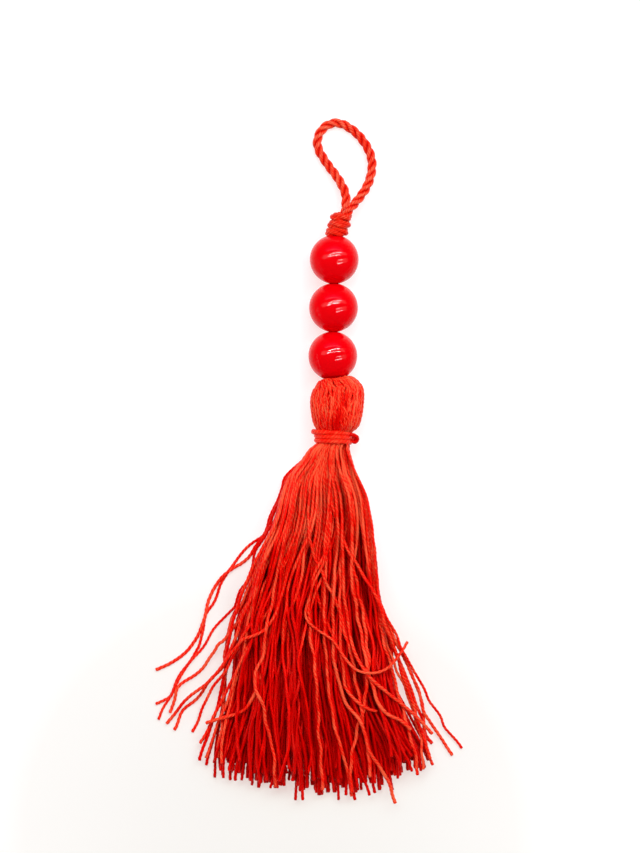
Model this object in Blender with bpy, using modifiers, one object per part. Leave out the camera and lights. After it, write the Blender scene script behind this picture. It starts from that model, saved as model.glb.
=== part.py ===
"""Silk tassel with three round beads on a knotted hanging cord, lying on a flat surface.

Metres, +Z up. The tassel lies on the plane z = 0 with its axis along Y: the
hanging loop is at +Y and the loose strands spread towards -Y. The origin is on
that plane, under the middle of the head.

Run with: blender --background --python part.py
"""
import math
import random
from collections import namedtuple

import bmesh
import bpy
import numpy as np
from mathutils import Vector

MM = 0.001
GAP = 0.3  # clearance between pieces that touch, mm

# Beads, mm
BEAD_DIAMETER = 10.0
BEAD_HOLE = 2.6
BEAD_PITCH = 9.75
BEAD_STEPS = 24
BEAD_ARC_POINTS = 10
BEAD_AXIS_Z = BEAD_DIAMETER / 2 * math.cos(math.pi / BEAD_STEPS)  # a facet is lowest
BOTTOM_BEAD = (-0.25, 9.3)
BEAD_LEAN = math.radians(0.85)  # of the strung beads, towards +X at the top
BEAD_NAMES = ("bead_bottom", "bead_middle", "bead_top")

# Hanging cord, mm
CORD_DIAMETER = 1.75
CORD_PLIES = 3
CORD_LAY = 5.4  # length of one full turn of the plies
CORD_PLY_RELIEF = 0.13  # depth of the plies as a share of the cord's radius
CORD_STATIONS = 78
STEM_DIAMETER = 1.9  # the two legs pressed together inside the beads
STEM_END_Y = 0.6
KNOT_BOTTOM = (0.4, 34.5, 4.8)
KNOT_TOP = (1.65, 37.5, 4.2)
KNOT_CORE_RADIUS = 1.65
KNOT_TURNS = 2.25
KNOT_THREAD = 1.38
KNOT_COIL_RADIUS = 1.7
KNOT_TURN_POINTS = 16

# Route of the loop's centreline: out of the knot up the left leg, round the
# end of the loop on the surface, and back down the right leg over the left.
LOOP_ROUTE = (  # x, y, z
    (1.9, 37.3, 3.3),
    (2.35, 39.2, 3.1),
    (2.3, 42.2, 2.5),
    (0.85, 45.2, 1.9),
    (-1.2, 48.0, 1.3),
    (-3.0, 50.9, 1.0),
    (-3.35, 53.1, 0.92),
    (-2.4, 55.2, 0.9),
    (-0.6, 56.4, 0.9),
    (1.4, 56.4, 0.9),
    (3.65, 55.2, 0.92),
    (5.45, 53.5, 1.0),
    (6.9, 51.3, 1.2),
    (7.65, 48.9, 1.6),
    (7.55, 46.3, 2.2),
    (6.65, 43.6, 3.0),
    (4.95, 41.0, 4.0),
    (3.2, 39.0, 5.0),
    (2.2, 37.4, 5.2),
)

# Head, neck and the gathered roots of the strands, from the cupped top down.
# lower_power squares the underside where the bundle settles on the surface.
RIBS = 32
Ring = namedtuple("Ring", "y x z half_width half_height rib lower_power")
HEAD_RINGS = (
    Ring(4.9, -0.1, 5.0, 3.35, 3.35, 0.15, 2.0),
    Ring(4.6, 0.6, 5.0, 4.05, 4.05, 0.2, 2.0),
    Ring(3.6, 0.9, 5.0, 4.7, 4.7, 0.25, 2.0),
    Ring(2.4, 0.85, 5.0, 5.1, 5.1, 0.25, 2.0),
    Ring(0.7, 0.65, 5.0, 5.45, 5.45, 0.25, 2.0),
    Ring(-1.2, 0.6, 5.0, 5.35, 5.35, 0.25, 2.0),
    Ring(-3.0, 0.55, 4.95, 5.05, 5.05, 0.25, 2.0),
    Ring(-4.3, 0.45, 4.85, 4.65, 4.65, 0.2, 2.0),
    Ring(-5.05, 0.25, 4.75, 4.2, 4.2, 0.15, 2.0),
    Ring(-5.2, 0.0, 4.65, 3.3, 3.3, 0.1, 2.0),
    Ring(-8.9, -0.1, 4.65, 3.3, 3.3, 0.1, 2.0),
    Ring(-9.1, -0.5, 4.5, 4.3, 4.1, 0.15, 2.0),
    Ring(-10.4, -1.2, 4.2, 5.2, 4.2, 0.25, 2.4),
    Ring(-12.4, -1.7, 3.8, 6.1, 3.8, 0.25, 3.2),
    Ring(-15.0, -2.3, 3.45, 7.3, 3.45, 0.2, 4.0),
)
HEAD_SOCKET_X = -0.35
HEAD_HOLLOW = ((0.2, 1.3), (4.2, 1.3), (4.25, 2.3))  # y, radius: socket, then the bead's cup

# Strands: rows at the end of the gathered roots, from the surface up. q runs
# across the fan from 0 at its left edge to 1 at its right edge.
STRAND_SIDE_ROOT = 0.42
STRAND_SIDE = 0.68
STRAND_LENGTH = 73.0  # the longest, from the tie to the strand's cut end
STRAND_LENGTH_SPREAD = 2.4
STRAND_SEED = 11
STRAY_SHARE = 0.28  # of the distance to the next strand
ROOT_PULL = 0.25  # of the first station's place back towards the root's
SHORTEST_CUT = 0.25  # of a step: a last piece shorter than this is left off
Row = namedtuple("Row", "strands root_height root_half_width end_height first_q last_q")
STRAND_ROWS = (
    Row(26, 0.34, 6.0, 0.34, 0.0, 1.0),
    Row(26, 1.9, 6.7, 1.14, 0.03, 0.98),
    Row(24, 3.5, 6.6, 1.94, 0.08, 0.94),
    Row(19, 5.0, 5.0, 2.74, 0.15, 0.88),
    Row(3, 6.2, 1.9, 3.54, 0.3, 0.6),
)
STATION_FIRST_Y = -19.0
STATION_STEP = 8.6
SPREAD_LENGTH = 50.0  # from the first station, over which the fan opens and bunches
SETTLE_LENGTH = 56.0  # over which the rows settle to their end heights
ROOT_DEPTH = 0.8  # of each strand inside the gathered roots
WAVE = 0.9  # sideways waves, of neighbours together
WAVE_STEP = 6.0
ROW_PHASE = 1.9
FAN_PHASE = 2.5

# Left and right edges of the fan of strands, from the gathered roots down.
Edges = namedtuple("Edges", "y left right")
FAN_EDGES = (
    Edges(-15.0, -9.6, 5.0),
    Edges(-19.6, -11.7, 6.5),
    Edges(-25.9, -13.6, 7.6),
    Edges(-33.5, -16.6, 8.2),
    Edges(-38.4, -19.3, 8.9),
    Edges(-45.9, -23.6, 11.7),
    Edges(-55.0, -29.5, 17.0),
    Edges(-65.0, -36.0, 22.8),
    Edges(-85.0, -49.0, 34.5),
)
# Share of the strands against their place q across the spread end of the fan.
BUNCH_SHARES = (0.0, 0.07, 0.16, 0.86, 0.94, 1.0)
BUNCH_PLACES = (0.0, 0.13, 0.27, 0.79, 0.9, 1.0)

# Loose strands with a course of their own: (row, number) and the route below
# the gathered roots as x, y, at the height of the row.
STRAY_ROUTES = {
    (0, 0): (
        (-11.9, -20.5), (-14.6, -27.0), (-17.6, -31.5), (-21.0, -34.4), (-23.2, -36.6), (-25.6, -41.0),
        (-26.7, -46.0), (-29.3, -52.2), (-33.4, -60.0), (-36.3, -61.2),
    ),
    (1, 0): (
        (-11.5, -19.0), (-13.8, -25.0), (-16.0, -28.5), (-20.9, -34.1), (-24.0, -37.0), (-26.0, -42.4),
        (-27.0, -46.4), (-30.3, -50.9), (-33.4, -53.0), (-36.4, -54.4),
    ),
    (4, 0): (
        (-5.0, -22.0), (-7.0, -32.0), (-9.3, -42.0), (-12.4, -52.0), (-15.8, -62.0), (-18.2, -72.0),
        (-17.8, -80.2),
    ),
    (4, 1): (
        (-3.2, -22.0), (-4.9, -32.0), (-7.0, -42.0), (-9.3, -52.0), (-10.6, -62.0), (-12.8, -72.0),
        (-12.3, -78.3),
    ),
    (4, 2): (
        (-1.6, -22.0), (-2.0, -32.5), (-4.3, -37.2), (-5.5, -42.0), (-3.3, -46.2), (2.0, -51.2),
        (6.0, -54.4), (10.6, -53.8), (13.8, -50.2), (14.8, -48.2),
    ),
}

# Neck tie, mm
TIE_CENTRE = (-0.05, -7.05, 4.65)
TIE_TURNS = 2.5
TIE_THREAD = 0.84
TIE_PITCH = 0.9
TIE_COIL_RADIUS = 4.05
TIE_TURN_POINTS = 20
TIE_KNOT = (4.2, -7.95, 4.9)
TIE_KNOT_RADIUS = 0.6

THREAD_RED = (0.72, 0.035, 0.018)
CORD_RED = (0.76, 0.05, 0.025)
BEAD_RED = (0.70, 0.0, 0.012)


def clear_scene():
    for found in list(bpy.data.objects):
        bpy.data.objects.remove(found, do_unlink=True)


def new_collection(name):
    made = bpy.data.collections.new(name)
    bpy.context.scene.collection.children.link(made)
    return made


def principled(name, colour, roughness, coat=0.0):
    made = bpy.data.materials.new(name)
    made.use_nodes = True
    shader = made.node_tree.nodes["Principled BSDF"]
    shader.inputs["Base Color"].default_value = (*colour, 1.0)
    shader.inputs["Roughness"].default_value = roughness
    shader.inputs["Metallic"].default_value = 0.0
    shader.inputs["Coat Weight"].default_value = coat
    made.diffuse_color = (*colour, 1.0)
    return made


def add_object(name, data, collection, material=None):
    made = bpy.data.objects.new(name, data)
    collection.objects.link(made)
    if material is not None:
        data.materials.append(material)
    return made


def hide_guide(guide):
    guide.hide_render = True
    guide.display_type = "WIRE"


def smooth_route(points, count):
    """Points at even steps along a Catmull-Rom curve through the given ones."""
    given = np.array(points, dtype=float)
    ends = 2 * given[0] - given[1], 2 * given[-1] - given[-2]
    held = np.vstack([ends[0], given, ends[1]])
    fine = []
    for i in range(1, len(held) - 2):
        before, here, there, after = held[i - 1 : i + 3]
        for t in np.linspace(0.0, 1.0, 24, endpoint=False):
            fine.append(
                0.5
                * (
                    2 * here
                    + (there - before) * t
                    + (2 * before - 5 * here + 4 * there - after) * t**2
                    + (3 * here - before - 3 * there + after) * t**3
                )
            )
    fine.append(given[-1])
    fine = np.array(fine)
    along = np.concatenate([[0.0], np.cumsum(np.linalg.norm(np.diff(fine, axis=0), axis=1))])
    even = np.linspace(0.0, along[-1], count)
    return np.column_stack([np.interp(even, along, fine[:, k]) for k in range(3)]), along[-1]


def tube_curve(name, routes, radius, sides_step, collection):
    """One curve object with a POLY spline for each route, its radius in mm."""
    data = bpy.data.curves.new(name, "CURVE")
    data.dimensions = "3D"
    data.bevel_depth = radius * MM
    data.bevel_resolution = sides_step
    data.use_fill_caps = True
    for route in routes:
        spline = data.splines.new("POLY")
        spline.points.add(len(route) - 1)
        for i, place in enumerate(route):
            spline.points[i].co = (place[0] * MM, place[1] * MM, place[2] * MM, 1.0)
    return add_object(name, data, collection)


def curve_to_mesh(guide, name, collection, material):
    """A mesh object with the curve's evaluated shape and its caps welded on."""
    depsgraph = bpy.context.evaluated_depsgraph_get()
    mesh = bpy.data.meshes.new_from_object(guide.evaluated_get(depsgraph))
    mesh.name = name
    cage = bmesh.new()
    cage.from_mesh(mesh)
    bmesh.ops.remove_doubles(cage, verts=cage.verts, dist=1e-6)
    bmesh.ops.recalc_face_normals(cage, faces=cage.faces)
    cage.to_mesh(mesh)
    cage.free()
    mesh.materials.clear()
    made = add_object(name, mesh, collection, material)
    made.matrix_world = guide.matrix_world.copy()
    bpy.data.objects.remove(guide, do_unlink=True)
    return made


def join_to(target, other):
    """Unite another closed mesh with the target, which keeps one body."""
    hide_guide(other)
    union = target.modifiers.new("join_" + other.name, "BOOLEAN")
    union.operation = "UNION"
    union.solver = "EXACT"
    union.object = other


def on_bead_axis(distance):
    """Point on the line through the beads, so far above the middle of the lowest."""
    return (
        BOTTOM_BEAD[0] + distance * math.sin(BEAD_LEAN),
        BOTTOM_BEAD[1] + distance * math.cos(BEAD_LEAN),
        BEAD_AXIS_Z,
    )


def make_beads(parts, material):
    """Turned beads with drilled holes, their ends flat where they meet."""
    radius = BEAD_DIAMETER / 2
    half_height = (BEAD_PITCH - GAP) / 2
    hole = BEAD_HOLE / 2
    profile = bmesh.new()
    first = math.asin(half_height / radius)
    points = [(hole, half_height)]
    for i in range(BEAD_ARC_POINTS + 1):
        angle = first * (1 - 2 * i / BEAD_ARC_POINTS)
        points.append((radius * math.cos(angle), radius * math.sin(angle)))
    points.append((hole, -half_height))
    corners = [profile.verts.new((x * MM, 0.0, z * MM)) for x, z in points]
    for i, corner in enumerate(corners):
        profile.edges.new((corner, corners[(i + 1) % len(corners)]))
    mesh = bpy.data.meshes.new("bead")
    profile.to_mesh(mesh)
    profile.free()
    mesh.materials.append(material)
    for i, name in enumerate(BEAD_NAMES):
        bead = add_object(name, mesh, parts)
        bead.location = Vector(on_bead_axis(i * BEAD_PITCH)) * MM
        bead.rotation_euler = (math.pi / 2, math.pi / BEAD_STEPS, -BEAD_LEAN)
        screw = bead.modifiers.new("turn", "SCREW")
        screw.axis = "Z"
        screw.steps = BEAD_STEPS
        screw.render_steps = BEAD_STEPS
        screw.use_merge_vertices = True
        screw.merge_threshold = 0.00001
        screw.use_smooth_shade = True


def make_hanging_cord(parts, guides, material):
    """The twisted loop, the knot of three turns and the doubled stem in one solid."""
    section = bpy.data.curves.new("cord_section", "CURVE")
    section.dimensions = "2D"
    outline = section.splines.new("POLY")
    corners = 4 * CORD_PLIES
    outline.points.add(corners - 1)
    outline.use_cyclic_u = True
    mean = CORD_DIAMETER / 2 / (1 + CORD_PLY_RELIEF)
    for i in range(corners):
        angle = 2 * math.pi * i / corners
        reach = mean * (1 + CORD_PLY_RELIEF * math.cos(CORD_PLIES * angle)) * MM
        outline.points[i].co = (reach * math.cos(angle), reach * math.sin(angle), 0.0, 1.0)
    section_guide = add_object("cord_section", section, guides)
    hide_guide(section_guide)

    route, length = smooth_route(LOOP_ROUTE, CORD_STATIONS)
    loop = tube_curve("loop_guide", [route], CORD_DIAMETER / 2, 2, guides)
    loop.data.bevel_mode = "OBJECT"
    loop.data.bevel_object = section_guide
    for i, point in enumerate(loop.data.splines[0].points):
        point.tilt = -2 * math.pi * length / CORD_LAY * i / (CORD_STATIONS - 1)
    cord = curve_to_mesh(loop, "hanging_cord", parts, material)

    bottom, top = Vector(KNOT_BOTTOM), Vector(KNOT_TOP)
    axis = (top - bottom).normalized()
    core = tube_curve("knot_core", [[bottom - 0.35 * axis, top + 0.45 * axis]], KNOT_CORE_RADIUS, 3, guides)
    across = axis.cross(Vector((0.0, 0.0, 1.0))).normalized()
    upward = across.cross(axis)
    coil = []
    coil_steps = round(KNOT_TURNS * KNOT_TURN_POINTS)
    for i in range(coil_steps + 1):
        share = i / coil_steps
        angle = -math.pi / 2 - 2 * math.pi * KNOT_TURNS * share
        offset = across * math.cos(angle) + upward * math.sin(angle)
        coil.append(bottom.lerp(top, share) + offset * KNOT_COIL_RADIUS)
    turns = tube_curve("knot_turns", [coil], KNOT_THREAD / 2, 2, guides)
    stem_top = bottom + 0.5 * axis
    stem_route = [
        on_bead_axis(STEM_END_Y - BOTTOM_BEAD[1]),
        on_bead_axis(KNOT_BOTTOM[1] - 1.1 - BOTTOM_BEAD[1]),
        tuple(stem_top),
    ]
    stem = tube_curve("stem", [stem_route], STEM_DIAMETER / 2, 3, guides)
    for guide in (core, turns, stem):
        join_to(cord, curve_to_mesh(guide, guide.name, guides, material))
    cord.data.shade_smooth()


def ring_point(ring, index):
    """A point on a ribbed, flattened section of the bundle, no lower than the surface."""
    angle = math.pi * index / RIBS
    power = ring.lower_power if math.sin(angle) < 0 else 2.0
    squared = (abs(math.cos(angle)) ** power + abs(math.sin(angle)) ** power) ** (-1 / power)
    groove = ring.rib if index % 2 else 0.0
    x = ring.x + (ring.half_width - groove) * squared * math.cos(angle)
    z = ring.z + (ring.half_height - groove) * squared * math.sin(angle)
    return x * MM, ring.y * MM, max(z, 0.0) * MM


def make_bundle_core():
    """Ribbed head, tied neck and gathered roots as one lofted solid."""
    cage = bmesh.new()
    sides = 2 * RIBS
    hollow = []
    for y, radius in HEAD_HOLLOW:
        hollow.append(Ring(y, HEAD_SOCKET_X, BEAD_AXIS_Z, radius, radius, 0.0, 2.0))
    loops = []
    for ring in (*hollow, *HEAD_RINGS):
        loops.append([cage.verts.new(ring_point(ring, i)) for i in range(sides)])
    for upper, lower in zip(loops, loops[1:]):
        for i in range(sides):
            j = (i + 1) % sides
            cage.faces.new((upper[i], upper[j], lower[j], lower[i]))
    cage.faces.new(loops[0])
    cage.faces.new(loops[-1])
    bmesh.ops.recalc_face_normals(cage, faces=cage.faces)
    mesh = bpy.data.meshes.new("silk_bundle")
    cage.to_mesh(mesh)
    cage.free()
    return mesh


def across_fan(q, y):
    """Place of q between the fan's left and right edges at this distance down it."""
    table = np.array(FAN_EDGES)[::-1]
    left = np.interp(y, table[:, 0], table[:, 1])
    right = np.interp(y, table[:, 0], table[:, 2])
    return left + q * (right - left)


def strand_x(row, share, stray, y):
    """Place across the fan of a strand: its share of the way along its row, and
    how far it strays from that where the fan is spread."""
    line = STRAND_ROWS[row]
    spread = min(max((STATION_FIRST_Y - y) / SPREAD_LENGTH, 0.0), 1.0)
    spread = spread * spread * (3 - 2 * spread)
    even = line.first_q + (line.last_q - line.first_q) * (share + stray * spread)
    bunched = np.interp(even, BUNCH_SHARES, BUNCH_PLACES)
    wave = WAVE * math.sin(y / WAVE_STEP + ROW_PHASE * row + FAN_PHASE * even)
    return across_fan((1 - spread) * even + spread * bunched, y) + spread * wave


def strand_height(row, y):
    """Height of a row: level on the surface for the lowest, settling for the others."""
    line = STRAND_ROWS[row]
    settled = min(max((STATION_FIRST_Y - y) / SETTLE_LENGTH, 0.0), 1.0)
    return line.root_height + (line.end_height - line.root_height) * settled


def generic_route(row, share, chance):
    """Route of an ordinary strand below its root, down to its cut end."""
    root = HEAD_RINGS[-1]
    line = STRAND_ROWS[row]
    stray = chance.uniform(-STRAY_SHARE, STRAY_SHARE) / (line.strands - 1)
    if share in (0.0, 1.0):
        stray = 0.0
    left_over = STRAND_LENGTH - abs(chance.gauss(0.0, STRAND_LENGTH_SPREAD)) - (TIE_CENTRE[1] - root.y)
    root_x = root.x + (2 * share - 1) * line.root_half_width
    last = (root_x, root.y, line.root_height)
    route = []
    y = STATION_FIRST_Y
    while left_over > 0:
        x = strand_x(row, share, stray, y)
        if not route:
            x += ROOT_PULL * (root_x - x)
        place = (x, y, strand_height(row, y))
        step = math.dist(place, last)
        if step > left_over:
            cut = left_over / step
            place = tuple(a + (b - a) * cut for a, b in zip(last, place))
        if step <= left_over or cut > SHORTEST_CUT:
            route.append(place)
        left_over -= step
        last = place
        y -= STATION_STEP
    return route


def make_strand_routes():
    """A route for every strand, row by row from the surface up."""
    chance = random.Random(STRAND_SEED)
    root = HEAD_RINGS[-1]
    routes = []
    for row, line in enumerate(STRAND_ROWS):
        for number in range(line.strands):
            share = number / (line.strands - 1)
            route = generic_route(row, share, chance)
            if (row, number) in STRAY_ROUTES:
                route = [(x, y, strand_height(row, y)) for x, y in STRAY_ROUTES[row, number]]
            root_x = root.x + (2 * share - 1) * line.root_half_width
            roots = [(root_x, root.y + ROOT_DEPTH, line.root_height), (root_x, root.y, line.root_height)]
            routes.append(roots + route)
    return routes


def make_silk_bundle(parts, guides, material):
    """The folded bundle of threads: head, neck, roots and the loose strands."""
    bundle = add_object("silk_bundle", make_bundle_core(), parts, material)
    routes = make_strand_routes()
    strands = tube_curve("strands", routes, STRAND_SIDE * math.sqrt(0.5), 0, guides)
    strands.data.twist_mode = "Z_UP"
    root_share = STRAND_SIDE_ROOT / STRAND_SIDE
    for spline in strands.data.splines:
        for i, point in enumerate(spline.points):
            point.tilt = math.pi / 4
            point.radius = min(1.0, root_share + (1 - root_share) * max(0, i - 1) / 2)
    join_to(bundle, curve_to_mesh(strands, "strands", guides, material))


def make_neck_tie(parts, guides, material):
    """Thread wound round the neck, with its small knot at the right."""
    cx, cy, cz = TIE_CENTRE
    half = TIE_TURNS * TIE_PITCH / 2
    route = []
    steps = round(TIE_TURNS * TIE_TURN_POINTS)
    for i in range(steps + 1):
        share = i / steps
        angle = math.pi - 2 * math.pi * TIE_TURNS * share
        route.append(
            (
                cx + TIE_COIL_RADIUS * math.cos(angle),
                cy + half - 2 * half * share,
                cz + TIE_COIL_RADIUS * math.sin(angle),
            )
        )
    thread = tube_curve("tie_thread", [route], TIE_THREAD / 2, 1, guides)
    tie = curve_to_mesh(thread, "neck_tie", parts, material)
    knot = bmesh.new()
    bmesh.ops.create_icosphere(knot, subdivisions=2, radius=TIE_KNOT_RADIUS * MM)
    bmesh.ops.translate(knot, verts=knot.verts, vec=Vector(TIE_KNOT) * MM)
    mesh = bpy.data.meshes.new("tie_knot")
    knot.to_mesh(mesh)
    knot.free()
    join_to(tie, add_object("tie_knot", mesh, guides, material))
    tie.data.shade_smooth()


def main():
    clear_scene()
    parts = new_collection("silk_tassel")
    guides = new_collection("guides")
    thread = principled("silk_thread", THREAD_RED, 0.45)
    cord = principled("twisted_cord", CORD_RED, 0.5)
    gloss = principled("gloss_bead", BEAD_RED, 0.12, coat=0.5)
    tie = principled("tie_thread", CORD_RED, 0.5)
    make_beads(parts, gloss)
    make_hanging_cord(parts, guides, cord)
    make_silk_bundle(parts, guides, thread)
    make_neck_tie(parts, guides, tie)


main()
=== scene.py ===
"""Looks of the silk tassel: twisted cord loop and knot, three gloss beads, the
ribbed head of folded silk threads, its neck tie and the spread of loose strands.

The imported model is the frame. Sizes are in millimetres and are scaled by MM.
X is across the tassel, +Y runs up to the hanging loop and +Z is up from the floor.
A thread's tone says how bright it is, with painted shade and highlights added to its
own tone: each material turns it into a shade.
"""
import math
import random
from collections import namedtuple

import bpy
import numpy as np
from mathutils import Matrix, Vector


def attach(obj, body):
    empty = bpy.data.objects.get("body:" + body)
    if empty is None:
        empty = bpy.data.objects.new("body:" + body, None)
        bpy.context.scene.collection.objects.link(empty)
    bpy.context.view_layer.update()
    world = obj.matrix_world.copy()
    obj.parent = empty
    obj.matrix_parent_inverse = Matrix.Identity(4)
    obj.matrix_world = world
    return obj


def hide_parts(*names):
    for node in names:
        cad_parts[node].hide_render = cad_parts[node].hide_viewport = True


MM = 0.001
UPWARD = (0.0, 0.0, 1.0)

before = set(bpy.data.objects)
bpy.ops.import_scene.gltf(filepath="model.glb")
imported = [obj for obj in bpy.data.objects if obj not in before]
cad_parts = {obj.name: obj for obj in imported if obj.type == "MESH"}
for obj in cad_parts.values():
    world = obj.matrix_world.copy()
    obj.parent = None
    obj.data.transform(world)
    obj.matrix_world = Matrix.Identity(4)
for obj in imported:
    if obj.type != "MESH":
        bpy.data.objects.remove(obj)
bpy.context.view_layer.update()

# ---- camera ----
PHOTO_HEIGHT = 853  # pixels
MM_PER_PIXEL = 0.202  # at the height of the beads' middle
VIEW_CENTRE = (-2.83, -4.95, 5.0)
CAMERA_DISTANCE = 1400.0  # above VIEW_CENTRE
SENSOR_HEIGHT = 24.0

# ---- profiles ----
# Section of a twisted thread. Its lobes, the plies, stand out by relief, a share of the
# radius. The last two fields are a painted highlight on the lobes' crests, with painted
# shade in their grooves, and painted shade on the thread's sides.
Profile = namedtuple("Profile", "sides lobes relief crest_tone side_tone")
LOOP_PROFILE = Profile(10, 5, 0.05, 0.16, 0.36)
KNOT_PROFILE = Profile(10, 5, 0.06, 0.25, 0.25)
HEAD_PROFILE = Profile(6, 3, 0.12, 0.18, 0.7)
STRAND_PROFILE = Profile(6, 3, 0.09, 0.16, 0.43)
TIE_PROFILE = Profile(9, 3, 0.08, 0.12, 0.08)
ROUTE_STEPS = 24  # between two given points of a route
Wave = namedtuple("Wave", "length size")
# A place of painted shade: its middle and width across, and heights over which it sets in.
Shade = namedtuple("Shade", "tone middle width heights")

# ---- beads ----
BEAD_RADIUS = 4.957
BEAD_HOLE_RADIUS = 0.75
BEAD_LIP = 0.1  # rounding of the drilled hole's edge
BEAD_PITCH = 9.75
BEAD_GAP = 0.004  # between the flats of two beads
BOTTOM_BEAD = (-0.25, 9.3)
BEAD_LEAN = math.radians(0.85)
BEAD_NAMES = ("bead_bottom", "bead_middle", "bead_top")
BEAD_SEGMENTS = 96
BEAD_ARC_STEPS = 56
BEAD_LIP_STEPS = 6

# ---- hanging cord ----
CORD_SEED = 5
CORD_STEP = 0.22
PLY_LAY = 2.3
PLY_TONE_SPREAD = 0.1
Plies = namedtuple("Plies", "offset radius lay tone")  # three, laid round each other
LOOP_PLIES = Plies(0.51, 0.47, 6.0, 0.25)
KNOT_PLIES = Plies(0.36, 0.56, 7.5, 0.0)  # pressed together
LOOP_ROUTE = (  # x, y, z
    (1.9, 37.3, 3.3), (2.35, 39.2, 3.1), (2.3, 42.2, 2.5), (0.85, 45.2, 1.9),
    (-1.2, 48.0, 1.3), (-3.0, 50.9, 1.04), (-3.35, 53.1, 0.98), (-2.4, 55.2, 0.97),
    (-0.6, 56.4, 0.97), (1.4, 56.4, 0.97), (3.65, 55.2, 0.98), (5.45, 53.5, 1.04),
    (6.9, 51.3, 1.2), (7.65, 48.9, 1.6), (7.55, 46.3, 2.2), (6.65, 43.6, 3.0),
    (4.95, 41.0, 4.0), (3.2, 39.0, 5.0), (2.2, 37.4, 5.2),
)
KNOT_BOTTOM = (0.35, 33.6, 4.85)
KNOT_TOP = (1.7, 38.1, 4.25)
KNOT_TURNS = 3.0
KNOT_SHARES = (0.0, 0.6, 1.0)  # of the way up, where the coil has these radii
KNOT_COIL_RADII = (1.5, 1.5, 1.25)
KNOT_SLOPE = math.radians(-5)  # of the turns
KNOT_LEVEL = 0.9  # each turn runs level in front and climbs behind
KNOT_CORE_RADIUS = 1.1
STEM_BOTTOM = -8.0  # from the middle of the lowest bead
STEM_BELOW_KNOT = 0.4
STEM_LEG_RADIUS = 0.36  # of the two legs, which fill the drilled holes
STEM_LAY = 9.0

# ---- head ----
HEAD_SEED = 7
Ring = namedtuple("Ring", "y x z radius")
HEAD_RINGS = (  # outside of the folded threads, from the cup's rim to the neck
    Ring(4.1, -0.2, 4.96, 2.75), Ring(5.0, -0.15, 4.96, 3.1), Ring(5.35, -0.05, 4.98, 3.5),
    Ring(5.1, 0.27, 5.0, 3.88), Ring(4.3, 0.58, 5.0, 4.5), Ring(3.2, 0.9, 5.0, 4.95),
    Ring(1.8, 0.8, 5.0, 5.3), Ring(0.4, 0.65, 5.0, 5.45), Ring(-1.4, 0.6, 5.0, 5.35),
    Ring(-3.0, 0.58, 4.95, 5.1), Ring(-4.3, 0.56, 4.85, 4.75), Ring(-5.05, 0.52, 4.8, 4.35),
    Ring(-5.6, 0.38, 4.75, 3.85), Ring(-6.2, 0.05, 4.7, 3.3), Ring(-6.8, -0.15, 4.65, 3.0),
    Ring(-7.4, -0.18, 4.65, 2.9),
)
HeadLayer = namedtuple("HeadLayer", "threads proud wander crowd")
HEAD_LAYERS = (  # an even layer, and fewer loose ones over it
    HeadLayer(78, -0.12, 0.05, 0.3),
    HeadLayer(44, 0.06, 0.09, 0.6),
)
HEAD_THREAD_RADIUS = 0.29
HEAD_THREAD_TAPER = 0.3  # thinner where the head's radius is small
HEAD_THREAD_LAY = 2.8
HEAD_SWAY_LENGTH = 1.7  # of a thread's waves across its neighbours
HEAD_RIPPLE = Wave(0.45, 0.02)
HEAD_UNEVEN = 0.08  # in and out, from thread to thread
FOLD_ACROSS = (-1.0, -0.85, -0.7, -0.5, 0.0, 0.4, 0.7, 1.0)  # cosine of the angle round it
FOLD_SHIFTS = (-1.6, -1.3, -1.05, -0.85, -0.8, -0.6, -0.35, -0.35)  # lower at the left
FOLD_UNEVEN = 0.12
FOLD_HEIGHTS = (2.0, 5.0)  # over which the shift grows
GROOVE_ANGLES = (1.56, 1.29)  # round the head, at the two heights below
GROOVE_HEIGHTS = (-4.6, 1.0)
GROOVE_DEPTH = 0.45
GROOVE_WIDTH = 0.13  # radians
GROOVE_FADE = (3.6, 0.6)  # heights over which it deepens
GROOVE_SHADE_TONE = 0.38  # painted shade in the groove, darker by this
HEAD_TONE = (0.36, 0.12)  # mean and spread
HEAD_GLINT = Wave(0.5, 0.08)
HEAD_SHADE = Shade(0.3, 1.72, 0.6, (-1.5, -4.0))  # painted shade above the tie
HEAD_CORE_INSET = 0.5
HEAD_CORE_AXIS = (0.0, 0.0, 4.95)
HEAD_CORE_CUP = (1.3, 3.0)  # radius and height of the cup's floor
HEAD_CORE_SUNK = 1.0  # of the rim, below the fold
HEAD_CORE_LOWEST = 0.3  # above the floor

# ---- strands ----
STRAND_SEED = 29
THREAD_RADIUS = 0.39
NECK_THREAD_RADIUS = 0.31
THREAD_LAY = 3.0
NECK_X, NECK_Z, NECK_RADIUS = -0.18, 4.65, 3.15
ROOT_Y = -6.6
NECK_END_Y = -8.4
FAN_FULL_Y = -19.0
FAN_Y = np.arange(ROOT_Y, -88.0, -0.5)  # a strand's stations, to below the cut ends
FULL_SPREAD_Y = (FAN_FULL_Y, FAN_FULL_Y - 40.0)  # where strands leave even places
SETTLING_LENGTH = 56.0  # over which the rows settle
STRAND_LENGTH = (71.8, 1.7)  # mean and spread
RIGHT_FROM = 0.6  # share of the width beyond which strands are shorter
RIGHT_SHORTER = 9.0  # for each share of the width beyond it
FULL_RADIUS_Y = (NECK_END_Y, NECK_END_Y - 24.0)
THICK_Y = (-30.0, -55.0)  # where a row's strands thicken
FRAYED = 0.16  # thicker at the cut end by this
FRAYED_LENGTH = 0.5
CUT_EDGE = 0.12  # length of the cut end's narrower edge
CUT_EDGE_SHARE = 0.72
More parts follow.
